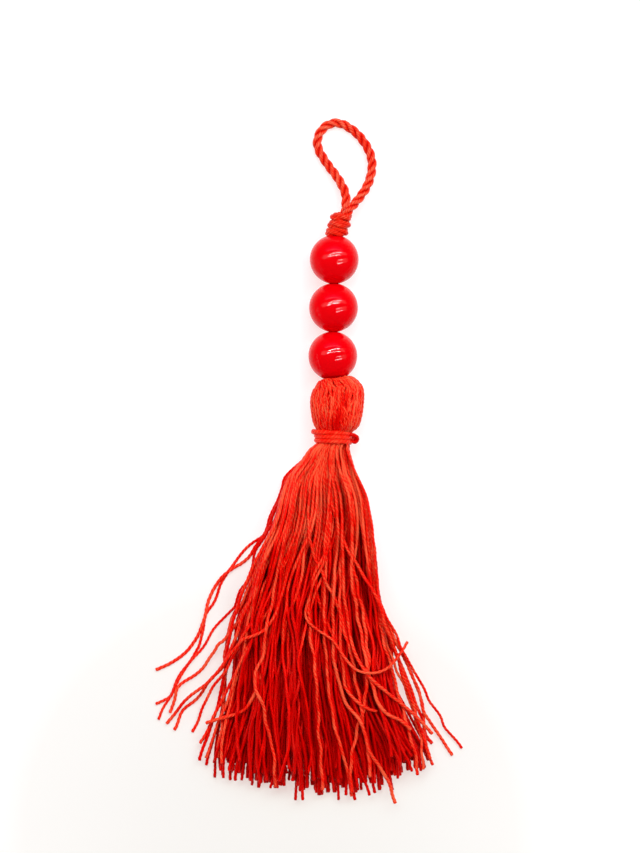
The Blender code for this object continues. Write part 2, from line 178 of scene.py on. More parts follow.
FAN_EDGES = (  # y, left, right: of the dense middle of the fan
    (-8.4, -4.0, 3.5), (-9.7, -5.9, 3.6), (-12.1, -7.6, 4.3), (-15.0, -9.8, 5.1),
    (-19.6, -10.9, 6.5), (-22.5, -11.5, 7.1), (-25.9, -12.6, 7.6), (-29.0, -14.1, 7.9),
    (-33.5, -15.9, 8.3), (-38.4, -17.4, 8.6), (-44.0, -18.8, 9.6), (-50.0, -19.4, 10.9),
    (-54.0, -19.6, 11.0), (-58.0, -20.0, 11.9), (-62.0, -20.7, 13.5), (-66.0, -21.7, 15.5),
    (-72.0, -22.9, 18.3), (-80.0, -23.9, 19.8),
)
EDGE_STRAYS = 4  # at each edge, after each of the EDGE_STRAY_ROWS lowest rows
EDGE_STRAY_ROWS = 3
EDGE_STRAY_STARTS = (0.02, 0.08)  # share of the width in from the edge, below the neck
EDGE_STRAY_ENDS = ((-0.1, 0.05), (-0.03, 0.06))  # the same at the cut ends, left and right
STRAND_WAVES = (Wave(6.5, 0.04), Wave(12.0, 0.08), Wave(24.0, 0.2), Wave(50.0, 0.8))
COURSE_WAVES = (Wave(5.5, 0.1), Wave(9.0, 0.12))
WAVES_Y = (-9.5, -47.5)  # where the waves grow

# Rows of strands, from the floor up. disc is a row's height in the neck, from -1 to 1,
# thick its thickening at the cut ends, root_z and end_z its heights below the neck and
# at the ends, and q a place across the fan, from 0 at the left to 1 at the right. wander
# is the size of a strand's own waves, bunch that of the waves it shares with others,
# stray and drift how far chance moves it, and step the length between its rings.
Row = namedtuple("Row", "strands thick disc root_z end_z first_q last_q wander stray bunch drift step")
STRAND_ROWS = (
    Row(72, 1.45, -0.85, 0.5, 0.48, 0.0, 1.0, 0.1, 0.1, 0.0, 0.0, 0.5),
    Row(56, 1.0, -0.5, 1.9, 1.15, 0.01, 0.99, 0.5, 0.4, 0.004, 0.006, 0.34),
    Row(42, 1.0, -0.1, 3.5, 1.9, 0.04, 0.97, 0.9, 0.4, 0.006, 0.04, 0.27),
    Row(32, 1.0, 0.35, 5.0, 2.5, 0.09, 0.94, 1.2, 0.4, 0.006, 0.07, 0.27),
    Row(24, 1.0, 0.75, 6.1, 2.9, 0.13, 0.87, 1.4, 0.4, 0.006, 0.09, 0.27),
)
ROW_UNEVEN = 0.07  # of disc, from strand to strand
BUNCHES = 8  # across the fan
BUNCH_LENGTH = 35.0  # along the strands
ROW_PHASE = 2.4  # from one row's bunches to the next one's
COURSE_STEP = 0.25
STRAND_PIECES = (  # one for each row, and one for COURSES
    "strands_floor", "strands_low", "strands_middle", "strands_high", "strands_top", "strands_loose",
)
STRAND_TONE = (0.45, 0.11)  # mean and spread
LOOSE_TONE = (0.22, 0.08)
GLINT = 0.1
LOW_Y = (-16.0, -62.0)  # where painted shade makes strands darker towards their ends
LOW_SHADE_TONE = (-1.0, 0.28)
LOW_SIDE_SHARE = 0.5  # of the painted side shade that is left there
MIDDLE_SHADE = Shade(0.15, -3.0, 9.0, (-45.0, -70.0))  # painted shade in the middle of the cut ends
COVER_SHADE_TONE = 0.36  # painted shade, darker for each millimetre of cover, at the cut ends
ROOT_COVER_SHARE = 0.2  # of that near the neck

# Strands with a course of their own, each laid after the row it names. disc is its
# height in the neck, and the points are x, y.
Course = namedtuple("Course", "after_row disc points")
COURSES = (
    # at the left
    Course(0, -0.3, ((-9.7, -14.9), (-10.5, -17.4), (-11.4, -19.8), (-12.4, -21.8), (-13.1, -23.6),
        (-13.5, -25.3), (-14.4, -27.1), (-16.0, -28.2), (-17.4, -29.3), (-19.0, -31.0), (-20.2, -32.5),
        (-21.2, -33.9), (-22.0, -35.4), (-22.8, -37.0), (-23.6, -38.8), (-24.6, -40.8), (-25.9, -43.0),
        (-26.5, -45.9), (-27.1, -49.1), (-28.1, -50.7), (-30.3, -53.9), (-31.5, -56.2), (-32.5, -58.2),
        (-33.4, -59.7), (-34.5, -60.4), (-36.2, -61.2))),
    Course(0, -0.2, ((-9.4, -15.3), (-10.0, -17.5), (-10.8, -19.8), (-11.9, -21.8), (-12.7, -23.6),
        (-13.2, -25.3), (-13.9, -26.7), (-14.9, -28.1), (-16.0, -29.5), (-17.2, -31.3), (-18.8, -32.7),
        (-20.2, -33.5), (-21.6, -34.5), (-23.0, -35.8), (-24.2, -37.6), (-25.0, -39.6), (-25.9, -42.0),
        (-26.6, -44.4), (-27.2, -46.9), (-28.5, -48.9), (-30.5, -51.1), (-33.1, -52.9), (-36.2, -54.3))),
    Course(0, -0.1, ((-8.9, -16.8), (-9.9, -19.8), (-11.0, -21.8), (-11.8, -23.4), (-12.5, -24.6),
        (-13.3, -25.9), (-14.0, -27.3), (-14.9, -28.7), (-15.6, -29.7), (-16.2, -31.2), (-16.8, -33.9),
        (-17.1, -35.4), (-17.8, -36.8), (-18.8, -38.0), (-19.5, -39.3), (-20.2, -41.4), (-21.1, -42.4),
        (-22.4, -43.8), (-23.8, -45.5), (-25.4, -47.8), (-27.1, -50.2), (-29.1, -52.7), (-30.7, -55.1),
        (-32.1, -57.4), (-33.5, -60.2), (-35.6, -64.4))),
    Course(1, 0.0, ((-9.3, -18.0), (-10.4, -21.0), (-11.3, -23.4), (-12.1, -25.4), (-12.9, -27.4),
        (-13.7, -29.2), (-14.6, -31.1), (-15.3, -32.5), (-15.8, -33.9), (-16.3, -35.4), (-17.0, -37.0),
        (-17.6, -38.4), (-18.4, -40.0), (-19.1, -41.4), (-20.6, -44.4), (-21.6, -48.0), (-22.2, -55.0),
        (-22.6, -64.0), (-23.6, -72.0))),
    Course(1, 0.1, ((-14.5, -31.9), (-16.6, -39.0), (-19.0, -43.6), (-22.1, -47.9), (-23.5, -49.1),
        (-24.2, -50.7), (-26.1, -53.2), (-28.4, -55.3), (-31.1, -57.4), (-32.3, -60.2), (-33.3, -63.0))),
    Course(2, 0.2, ((-13.7, -31.9), (-16.0, -38.0), (-17.8, -42.0), (-19.8, -46.9), (-21.0, -50.5),
        (-22.6, -53.7), (-25.2, -56.4), (-27.9, -60.2), (-30.5, -62.6), (-32.5, -66.5))),
    Course(2, 0.1, ((-12.9, -33.9), (-15.8, -42.0), (-17.8, -46.5), (-19.8, -50.1), (-22.2, -54.5),
        (-24.6, -58.2), (-26.7, -62.0), (-28.6, -66.9))),
    Course(2, 0.2, ((-12.5, -38.0), (-15.4, -45.0), (-19.0, -52.9), (-21.8, -58.6), (-24.2, -63.4),
        (-25.9, -66.9), (-27.1, -69.1))),
    Course(3, 0.3, ((-12.1, -40.0), (-15.4, -46.1), (-18.2, -51.1), (-20.8, -58.2), (-23.2, -64.6),
        (-26.1, -72.1))),
    Course(3, 0.3, ((-10.9, -38.0), (-12.5, -45.0), (-13.3, -50.1), (-14.5, -55.1), (-17.0, -60.8),
        (-19.4, -62.8), (-22.6, -63.8), (-25.9, -64.9))),
    Course(4, 0.5, ((-8.5, -31.9), (-10.9, -40.0), (-13.3, -45.2), (-15.2, -46.8), (-18.2, -47.9),
        (-19.6, -49.3), (-21.2, -51.1), (-22.8, -53.5), (-25.7, -57.0), (-29.1, -59.6), (-31.3, -61.6),
        (-33.9, -65.2))),
    # at the right
    Course(2, 0.2, ((7.0, -36.0), (9.0, -44.0), (11.3, -50.5), (12.1, -52.5), (12.7, -54.1), (13.6, -56.2),
        (14.4, -58.2), (15.3, -60.2), (16.0, -62.6), (17.0, -66.0), (17.8, -70.0), (18.0, -74.3))),
    Course(2, 0.2, ((7.4, -38.0), (9.0, -44.0), (10.5, -50.0), (11.7, -54.1), (12.8, -58.2), (14.0, -62.6),
        (15.2, -67.0), (16.3, -71.0), (17.0, -75.4))),
    Course(2, 0.2, ((7.4, -36.0), (9.2, -42.5), (10.8, -47.0), (12.3, -50.1), (13.2, -52.1), (13.9, -54.1),
        (14.7, -56.2), (15.6, -58.2), (16.6, -60.8), (17.4, -63.2), (18.4, -66.5), (19.2, -68.0),
        (20.1, -69.2))),
    Course(2, 0.1, ((8.0, -36.0), (9.4, -42.0), (11.2, -46.4), (12.6, -48.9), (13.5, -50.5), (14.3, -52.1),
        (15.4, -54.3), (16.2, -56.2), (17.0, -58.2), (17.6, -60.2), (18.0, -61.8), (18.2, -65.0),
        (18.4, -67.3), (18.8, -70.3), (20.0, -73.5))),
    Course(3, 0.0, ((8.5, -37.0), (9.6, -42.0), (11.2, -45.4), (12.9, -48.7), (13.9, -50.9), (14.8, -53.1),
        (15.9, -55.3), (16.9, -57.8), (17.5, -60.2), (18.2, -62.6), (19.4, -64.6), (21.4, -67.7),
        (22.8, -69.9), (24.1, -71.6))),
    Course(3, 0.1, ((8.7, -37.0), (9.3, -40.4), (10.3, -42.8), (11.3, -44.6), (12.3, -46.7), (13.3, -48.7),
        (14.1, -50.5), (14.9, -52.5), (16.0, -54.1), (17.0, -55.5), (17.8, -57.2), (18.4, -58.6),
        (19.2, -60.2), (20.4, -62.0), (21.4, -63.6), (22.4, -65.6), (23.4, -66.9), (24.4, -68.3),
        (25.8, -70.2))),
    # in the middle
    Course(4, 0.7, ((-8.9, -23.8), (-10.3, -28.9), (-11.7, -36.0), (-13.3, -44.0), (-14.3, -50.5),
        (-15.6, -54.1), (-15.8, -57.4), (-14.6, -60.8), (-13.7, -64.6), (-12.7, -68.3), (-12.1, -73.3),
        (-11.7, -77.8))),
    Course(4, 0.8, ((-1.6, -31.9), (-2.0, -44.0), (-1.4, -54.1), (-0.8, -60.2), (0.5, -66.9), (1.8, -71.3),
        (3.0, -75.8), (3.4, -79.8))),
    Course(4, 0.8, ((3.6, -31.9), (5.7, -42.0), (6.9, -52.1), (6.2, -59.8), (5.5, -63.8), (4.4, -67.2),
        (3.6, -71.5), (3.4, -75.3), (3.4, -79.0))),
    Course(4, 0.85, ((-4.4, -15.8), (-5.1, -19.8), (-5.1, -26.3), (-3.7, -31.7), (-1.4, -36.7),
        (0.4, -40.0), (1.8, -45.0), (3.2, -50.1), (4.8, -58.2), (6.5, -68.3), (7.5, -75.8))),
    Course(4, 0.9, ((-0.8, -15.8), (-0.5, -20.4), (1.2, -25.5), (2.6, -29.5), (4.8, -33.1), (7.2, -36.9),
        (8.7, -39.8), (10.1, -44.0), (12.3, -50.1), (14.9, -58.2), (17.6, -66.3), (19.4, -72.3))),
    Course(4, 0.8, ((1.2, -40.0), (1.4, -50.1), (2.4, -57.2), (4.2, -60.2), (6.5, -61.8), (8.7, -62.4))),
    Course(4, 0.8, ((3.6, -36.0), (5.7, -48.1), (7.7, -57.2), (10.1, -62.4), (13.3, -64.2), (15.6, -66.1))),
    Course(4, 0.9, ((0.4, -19.8), (0.8, -27.9), (0.0, -36.0), (-0.2, -48.1), (0.3, -54.1), (1.0, -56.6),
        (2.4, -60.6), (5.5, -65.0), (7.1, -70.1), (9.3, -74.0), (11.1, -77.0), (12.5, -81.2))),
    Course(4, 0.85, ((1.6, -23.8), (1.8, -33.9), (2.4, -42.0), (3.8, -49.1), (6.5, -54.7), (10.8, -58.6),
        (15.8, -62.8), (19.8, -67.1))),
    Course(4, 0.9, ((-0.8, -15.8), (-1.1, -23.2), (-1.4, -26.3), (-1.9, -30.5), (-3.7, -33.9),
        (-4.6, -38.0), (-5.1, -42.0), (-4.6, -48.1), (-3.6, -56.2), (-3.2, -64.2), (-2.6, -73.3),
        (-2.2, -78.4))),
    # curled up to the right
    Course(4, 0.93, ((-0.8, -15.8), (-1.4, -23.8), (-2.0, -29.5), (-2.2, -32.5), (-4.2, -37.0),
        (-5.5, -40.8), (-5.3, -44.0), (-3.2, -46.1), (-0.6, -47.9), (2.0, -51.1), (4.2, -53.7),
        (6.1, -54.5), (8.5, -54.5), (10.7, -53.7), (12.5, -52.1), (13.7, -50.3), (14.7, -48.3))),
)

# ---- tie ----
TIE_CENTRE = (-0.18, -7.08, 4.65)
TIE_TURNS = 2.5
TIE_PITCH = 0.87
TIE_COIL_RADIUS = 3.4
TIE_BULGE = 0.55  # of the first turn's loose left end
TIE_BULGE_TURNS = 0.13
TIE_THREAD_RADIUS = 0.5
TIE_THREAD_LAY = 2.2
TIE_FIRST_THICKER = 0.14
TIE_FIRST_LENGTH = 7.0
TIE_TONE = 0.17
TIE_END_RADIUS = 0.43
# Painted shade on the tie's end, which is darker than the coil.
TIE_END_SHADE_TONE = -0.4
TIE_END_ROUTE = (  # its end, turned back over itself at the right
    (3.1, -6.5, 6.3), (4.0, -6.7, 6.0), (4.7, -7.2, 5.4),
    (4.6, -7.85, 4.9), (4.0, -8.1, 4.8), (3.7, -7.5, 4.7),
    (3.8, -6.9, 4.3), (4.2, -7.5, 3.9), (3.5, -8.0, 3.9),
)


# ==== geometry ====
def smooth_route(points, step):
    """Points a step apart along a Catmull-Rom curve through the given ones."""
    given = np.array(points, dtype=float)
    held = np.vstack([2 * given[0] - given[1], given, 2 * given[-1] - given[-2]])
    t = np.linspace(0.0, 1.0, ROUTE_STEPS, endpoint=False)[:, None]
    pieces = []
    for before, here, there, after in zip(held[:-3], held[1:-2], held[2:-1], held[3:]):
        ahead = (there - before) * t
        bend = (2 * before - 5 * here + 4 * there - after) * t**2
        twist = (3 * here - before - 3 * there + after) * t**3
        pieces.append(0.5 * (2 * here + ahead + bend + twist))
    return even_steps(np.vstack([*pieces, given[-1]]), step)


def even_steps(points, step):
    """The same line with its points about a step apart."""
    along = lengths_along(points)
    count = max(2, round(along[-1] / step) + 1)
    even = np.linspace(0.0, along[-1], count)
    return np.column_stack([np.interp(even, along, points[:, k]) for k in range(points.shape[1])])


def lengths_along(points):
    """Distance of each point from the line's first one."""
    return np.concatenate([[0.0], np.cumsum(np.linalg.norm(np.diff(points, axis=0), axis=1))])


def unit(vectors):
    return vectors / np.linalg.norm(vectors, axis=-1, keepdims=True)


def eased(value, start, end):
    """0 up to the start, 1 from the end on, and a smooth step between them."""
    share = np.clip((value - start) / (end - start), 0.0, 1.0)
    return share * share * (3 - 2 * share)


def bump(value, width):
    """1 where the value is 0, and less the further it is from there."""
    return np.exp(-((value / width) ** 2))


def shaded(shade, across, height):
    """How much darker a shade makes these places."""
    return shade.tone * bump(across - shade.middle, shade.width) * eased(height, *shade.heights)


def blurred(values, sigma):
    """The same row of values, each mixed with its neighbours."""
    reach = int(3 * sigma) + 1
    weights = np.exp(-0.5 * (np.arange(-reach, reach + 1) / sigma) ** 2)
    return np.convolve(np.pad(values, reach, mode="edge"), weights / weights.sum(), mode="valid")


def cross_frame(path, reference):
    """Sideways and upward unit vectors at each point of a path."""
    ahead = unit(np.gradient(path, axis=0))
    side = unit(np.cross(ahead, np.broadcast_to(reference, path.shape)))
    return side, np.cross(side, ahead)


def linked(name, data):
    """A new object in the scene that shows these data."""
    made = bpy.data.objects.new(name, data)
    bpy.context.scene.collection.objects.link(made)
    return made


def smooth_piece(name, places, faces, material):
    """A smoothly shaded mesh object with its corners at these places."""
    mesh = bpy.data.meshes.new(name)
    mesh.from_pydata(places * MM, [], faces)
    mesh.shade_smooth()
    mesh.materials.append(material)
    mesh.update()
    return linked(name, mesh)


class Threads:
    """Closed twisted tubes of one profile, gathered into one mesh."""

    def __init__(self, profile):
        self.sides = profile.sides
        self.side_tone = profile.side_tone
        self.angles = math.tau * np.arange(profile.sides) / profile.sides
        crest = np.cos(profile.lobes * self.angles)
        # Painted highlight on the lobes' crests and painted shade in their grooves.
        self.crest_tone = profile.crest_tone * crest
        self.reach = (1 + profile.relief * crest) / (1 + profile.relief)
        self.places = []
        self.faces = []
        self.fibres = []
        self.tones = []
        self.count = 0

    def add(self, path, radius, lay, reference, tone, start_turn=0.0, side_share=1.0):
        """A tube along path, its lobes making one turn in each lay."""
        along = lengths_along(path)
        side, up = cross_frame(path, reference)
        turn = self.angles + start_turn + (math.tau * along / lay)[:, None]
        reach = np.broadcast_to(radius, along.shape)[:, None] * self.reach
        across = (reach * np.cos(turn))[..., None] * side[:, None, :]
        rise = (reach * np.sin(turn))[..., None] * up[:, None, :]
        self.places.append((path[:, None, :] + across + rise).reshape(-1, 3))
        self.add_faces(len(path))
        fibre = np.empty((len(path), self.sides, 3))  # along the thread and round it
        fibre[..., 0] = along[:, None]
        fibre[..., 1] = np.cos(self.angles)
        fibre[..., 2] = np.sin(self.angles)
        self.fibres.append(fibre.reshape(-1, 3))
        # Painted highlights on the lobes' crests, painted shade in their grooves and on the sides.
        side_tone = self.side_tone * np.broadcast_to(side_share, along.shape)
        tones = np.broadcast_to(tone, along.shape)[:, None] + self.crest_tone
        tones = tones - side_tone[:, None] * (1 - np.sin(turn))
        self.tones.append(tones.ravel())

    def add_faces(self, rings):
        """Faces between the next tube's rings, and its two flat ends."""
        sides = self.sides
        corner = np.arange(sides)
        following = (corner + 1) % sides
        near = self.count + sides * np.arange(rings - 1)[:, None]
        far = near + sides
        ringed = np.stack([near + corner, near + following, far + following, far + corner], -1)
        self.faces.append(ringed.reshape(-1, 4)[:, ::-1])
        half = np.arange(sides // 2 - 1)
        cap = np.stack([half, half + 1, sides - 2 - half, sides - 1 - half], -1)
        self.faces.append(self.count + cap)
        self.faces.append(self.count + sides * (rings - 1) + cap[:, ::-1])
        self.count += rings * sides

    def make(self, name, material):
        made = smooth_piece(name, np.vstack(self.places), np.vstack(self.faces), material)
        fibre = made.data.attributes.new("fibre", "FLOAT_VECTOR", "POINT")
        fibre.data.foreach_set("vector", np.vstack(self.fibres).astype(np.float32).ravel())
        tone = made.data.attributes.new("tone", "FLOAT", "POINT")
        tone.data.foreach_set("value", np.concatenate(self.tones).astype(np.float32))
        return made


def turned_piece(name, profile, segments, material, on_axis, direction):
    """A solid turned round an axis from a closed profile of (radius, distance)."""
    profile = np.array(profile)
    direction = unit(np.array(direction, dtype=float))
    side = unit(np.cross(direction, UPWARD))
    up = np.cross(side, direction)
    angles = math.tau * np.arange(segments) / segments
    rim = np.cos(angles)[:, None, None] * side + np.sin(angles)[:, None, None] * up
    places = np.array(on_axis) + profile[None, :, 1:] * direction + profile[None, :, :1] * rim
    count = len(profile)
    spoke = np.arange(count)
    beyond = (spoke + 1) % count
    first = count * np.arange(segments)[:, None]
    second = np.roll(first, -1, axis=0)
    faces = np.stack([first + spoke, first + beyond, second + beyond, second + spoke], -1)
    return smooth_piece(name, places.reshape(-1, 3), faces.reshape(-1, 4), material)


# ==== materials ====
FIBRE_STRETCH = (0.8, 2.4, 2.4)  # along the thread, and twice round it
FIBRE_RANGE = (0.27, 0.73)  # of the noise, spread out
FIBRE_TONE = 0.6
PATCH_TONE = 0.5
THREAD_TINT = (1.0, 0.4, 0.25, 1.0)  # of the silk's sheen
SHADE_STOPS = (0.0, 0.35, 0.72, 1.0)
# At those stops, from the painted shade of a deep hollow to the painted highlight on
# the crest of a bright thread.
SILK_SHADES = ((0.61, 0.0, 0.0), (0.8, 0.0002, 0.0001), (0.93, 0.006, 0.001), (0.94, 0.115, 0.044))
CORD_SHADES = ((0.48, 0.0002, 0.0001), (0.7, 0.002, 0.0006), (0.83, 0.024, 0.006), (0.86, 0.16, 0.08))
# Darker than the threads' shades: painted shade on the silk packed under the head's threads.
CORE_SHADES = ((0.5, 0.0, 0.0), (0.6, 0.0001, 0.0001), (0.7, 0.0005, 0.0002), (0.8, 0.001, 0.0005))
BEAD_COLOUR = (0.83, 0.0, 0.003)
BEAD_CLOUDED = 0.93  # of that colour in the clouding
BEAD_ROUGHNESS = (0.04, 0.07)
LACQUER = (  # from the face of a bead, 0, to its rim, 1, and the gloss there
    (0.09, 0.5), (0.18, 0.03), (0.32, 0.025), (0.42, 0.08), (0.62, 0.21),
)


def new_material(name, roughness, specular=0.5):
    made = bpy.data.materials.new(name)
    made.use_nodes = True
    tree = made.node_tree
    shader = tree.nodes["Principled BSDF"]
    shader.inputs["Roughness"].default_value = roughness
    shader.inputs["Specular IOR Level"].default_value = specular
    return made, tree, shader


def add_node(tree, kind, inputs=None, **settings):
    """A node with these settings. Each input is a value or another node's output."""
    node = tree.nodes.new("ShaderNode" + kind)
    for key, value in settings.items():
        setattr(node, key, value)
    for key, value in (inputs or {}).items():
        if isinstance(value, bpy.types.NodeSocket):
            tree.links.new(value, node.inputs[key])
        else:
            node.inputs[key].default_value = value
    return node


def add_places(tree):
    """The object's own coordinates, in metres."""
    return add_node(tree, "TexCoord").outputs["Object"]


def add_noise(tree, places, scale, detail=2.0):
    node = add_node(tree, "TexNoise", {"Vector": places, "Scale": scale, "Detail": detail})
    return node.outputs["Fac"]


def add_sum(tree, value, factor, base):
    """The base and a share of another value, added."""
    node = add_node(tree, "Math", {0: value, 1: factor, 2: base}, operation="MULTIPLY_ADD")
    return node.outputs["Value"]


def add_vector_math(tree, operation, first, second):
    """Outputs of an operation on a vector and another one, or a factor for SCALE."""
    other = "Scale" if operation == "SCALE" else 1
    return add_node(tree, "VectorMath", {0: first, other: second}, operation=operation).outputs


def add_range(tree, value, limits, made=(0.0, 1.0), kind="LINEAR"):
    """A value moved from its limits to others, and held between them."""
    names = ("Value", "From Min", "From Max", "To Min", "To Max")
    inputs = dict(zip(names, (value, *limits, *made)))
    return add_node(tree, "MapRange", inputs, interpolation_type=kind).outputs["Result"]


def add_ramp(tree, value, stops):
    """Colours of a ramp through stops of (place, colour)."""
    ramp = add_node(tree, "ValToRGB", {"Fac": value})
    elements = ramp.color_ramp.elements
    for place, _ in stops[2:]:
        elements.new(place)
    for element, (place, colour) in zip(elements, stops):
        element.position = place
        element.color = (*colour, 1.0)
    return ramp.outputs["Color"]


def thread_material(name, shades):
    """Twisted silk: fine fibres along the ply, in each thread's own tone plus painted shade and highlights.
    """
    made, tree, shader = new_material(name, roughness=0.33, specular=0.15)
    shader.inputs["Specular Tint"].default_value = THREAD_TINT
    along_thread = add_node(tree, "Attribute", attribute_name="fibre").outputs["Vector"]
    tone = add_node(tree, "Attribute", attribute_name="tone").outputs["Fac"]
    stretched = add_vector_math(tree, "MULTIPLY", along_thread, FIBRE_STRETCH)["Vector"]
    fibres = add_noise(tree, stretched, scale=1.6, detail=3.0)
    patches = add_noise(tree, add_places(tree), scale=180.0)
    dashed = add_sum(tree, add_range(tree, fibres, FIBRE_RANGE), FIBRE_TONE, tone)
    varied = add_sum(tree, patches, PATCH_TONE, dashed)
    shade = add_ramp(tree, varied, list(zip(SHADE_STOPS, shades)))
    tree.links.new(shade, shader.inputs["Base Color"])
    relief = add_node(tree, "Bump", {"Height": fibres, "Strength": 0.35, "Distance": 0.08 * MM})
    tree.links.new(relief.outputs["Normal"], shader.inputs["Normal"])
    return made


def bead_material(name, colour):
    """Glossy bead, faintly clouded and worn. Its gloss is weakest between face and rim."""
    made, tree, shader = new_material(name, roughness=max(BEAD_ROUGHNESS))
    facing = add_node(tree, "LayerWeight", {"Blend": 0.5}).outputs["Facing"]
    lacquer = add_ramp(tree, facing, [(away, 3 * (shine,)) for away, shine in LACQUER])
    tree.links.new(lacquer, shader.inputs["Specular IOR Level"])
    places = add_places(tree)
    clouded = tuple(BEAD_CLOUDED * channel for channel in colour)
    shade = add_ramp(tree, add_noise(tree, places, 160.0, 3.0), [(0.0, clouded), (1.0, colour)])
    tree.links.new(shade, shader.inputs["Base Color"])
    wear = add_range(tree, add_noise(tree, places, 900.0), (0.35, 0.75), BEAD_ROUGHNESS)
    tree.links.new(wear, shader.inputs["Roughness"])
    return made


silk = thread_material("silk_thread", SILK_SHADES)
cord_silk = thread_material("twisted_cord", CORD_SHADES)
core_silk = thread_material("packed_silk", CORE_SHADES)
gloss = bead_material("gloss_bead", BEAD_COLOUR)


# ==== beads ====
def on_bead_axis(distance):
    """Point on the line through the beads, so far above the middle of the lowest."""
    x = BOTTOM_BEAD[0] + distance * math.sin(BEAD_LEAN)
    y = BOTTOM_BEAD[1] + distance * math.cos(BEAD_LEAN)
    return np.array((x, y, BEAD_RADIUS))


def bead_profile():
    """A bead's section, from its upper hole round the ball to its lower one."""
    flat = (BEAD_PITCH - BEAD_GAP) / 2
    top = []
    for i in range(BEAD_LIP_STEPS + 1):
        angle = math.pi * (1 - i / BEAD_LIP_STEPS / 2)
        radius = BEAD_HOLE_RADIUS + BEAD_LIP * (1 + math.cos(angle))
        top.append((radius, flat - BEAD_LIP * (1 - math.sin(angle))))
    first = math.asin(flat / BEAD_RADIUS)
    ball = []
    for i in range(BEAD_ARC_STEPS + 1):
        angle = first * (1 - 2 * i / BEAD_ARC_STEPS)
        ball.append((BEAD_RADIUS * math.cos(angle), BEAD_RADIUS * math.sin(angle)))
    bottom = [(radius, -height) for radius, height in reversed(top)]
    return top + ball + bottom


def make_beads():
    """Polished beads that touch at small flats round the drilled holes."""
    profile = bead_profile()
    direction = (math.sin(BEAD_LEAN), math.cos(BEAD_LEAN), 0.0)
    for i, node in enumerate(BEAD_NAMES):
        centre = on_bead_axis(i * BEAD_PITCH)
        bead = turned_piece(node + "_gloss", profile, BEAD_SEGMENTS, gloss, centre, direction)
        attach(bead, "root")
        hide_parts(node)


# ==== hanging cord ====
def add_plies(threads, path, reference, plies, chance):
    """Three twisted plies laid round each other along a path."""
    side, up = cross_frame(path, reference)
    along = lengths_along(path)
    for ply in range(3):
        angle = math.tau * (ply / 3 - along / plies.lay)
        outward = np.cos(angle)[:, None] * side + np.sin(angle)[:, None] * up
        tone = plies.tone + chance.uniform(-PLY_TONE_SPREAD, PLY_TONE_SPREAD)
        threads.add(path + plies.offset * outward, plies.radius, PLY_LAY, outward, tone)


def add_knot_turns(knot, bottom, top, chance):
    """The cord's turns round the two legs of the loop."""
    across = np.array((math.cos(KNOT_SLOPE), math.sin(KNOT_SLOPE), 0.0))
    share = np.linspace(0.0, 1.0, 240)
    wound = math.tau * KNOT_TURNS * share
    angle = -math.pi / 2 - wound
    climb = (wound + KNOT_LEVEL * np.sin(wound)) / (math.tau * KNOT_TURNS)
    reach = np.interp(share, KNOT_SHARES, KNOT_COIL_RADII)[:, None]
    coil = bottom + climb[:, None] * (top - bottom)
    coil = coil + reach * (np.cos(angle)[:, None] * across + np.sin(angle)[:, None] * UPWARD)
    add_plies(knot, even_steps(coil, CORD_STEP), np.cross(across, UPWARD), KNOT_PLIES, chance)


def add_stem(knot):
    """The cord's two legs, twisted together through the beads and into the head."""
    stem_top = KNOT_BOTTOM[1] - BOTTOM_BEAD[1] - STEM_BELOW_KNOT
    stem = smooth_route([on_bead_axis(STEM_BOTTOM), on_bead_axis(stem_top)], step=0.3)
    side, up = cross_frame(stem, UPWARD)
    for leg in (0.0, math.pi):
        turn = (leg - math.tau * lengths_along(stem) / STEM_LAY)[:, None]
        offset = STEM_LEG_RADIUS * (np.cos(turn) * side + np.sin(turn) * up)
        knot.add(stem + offset, STEM_LEG_RADIUS, THREAD_LAY, UPWARD, tone=0.0)


def make_hanging_cord():
    """The loop is one free cord; the knot of three turns and the stem are beside it."""
    chance = random.Random(CORD_SEED)
    path = smooth_route(LOOP_ROUTE, CORD_STEP)
    loop = Threads(LOOP_PROFILE)
    add_plies(loop, path, UPWARD, LOOP_PLIES, chance)
    cord = loop.make("hanging_loop", cord_silk)
    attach(cord, "root")
    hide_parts("hanging_cord")

    knot = Threads(KNOT_PROFILE)
    bottom, top = np.array(KNOT_BOTTOM), np.array(KNOT_TOP)
    add_knot_turns(knot, bottom, top, chance)
    add_stem(knot)
    core = even_steps(np.array([bottom, top]), step=0.4)
    knot.add(core, KNOT_CORE_RADIUS, THREAD_LAY, UPWARD, tone=-0.1)
    turns = knot.make("cord_knot", cord_silk)
    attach(turns, "root")
    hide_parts("hanging_cord")


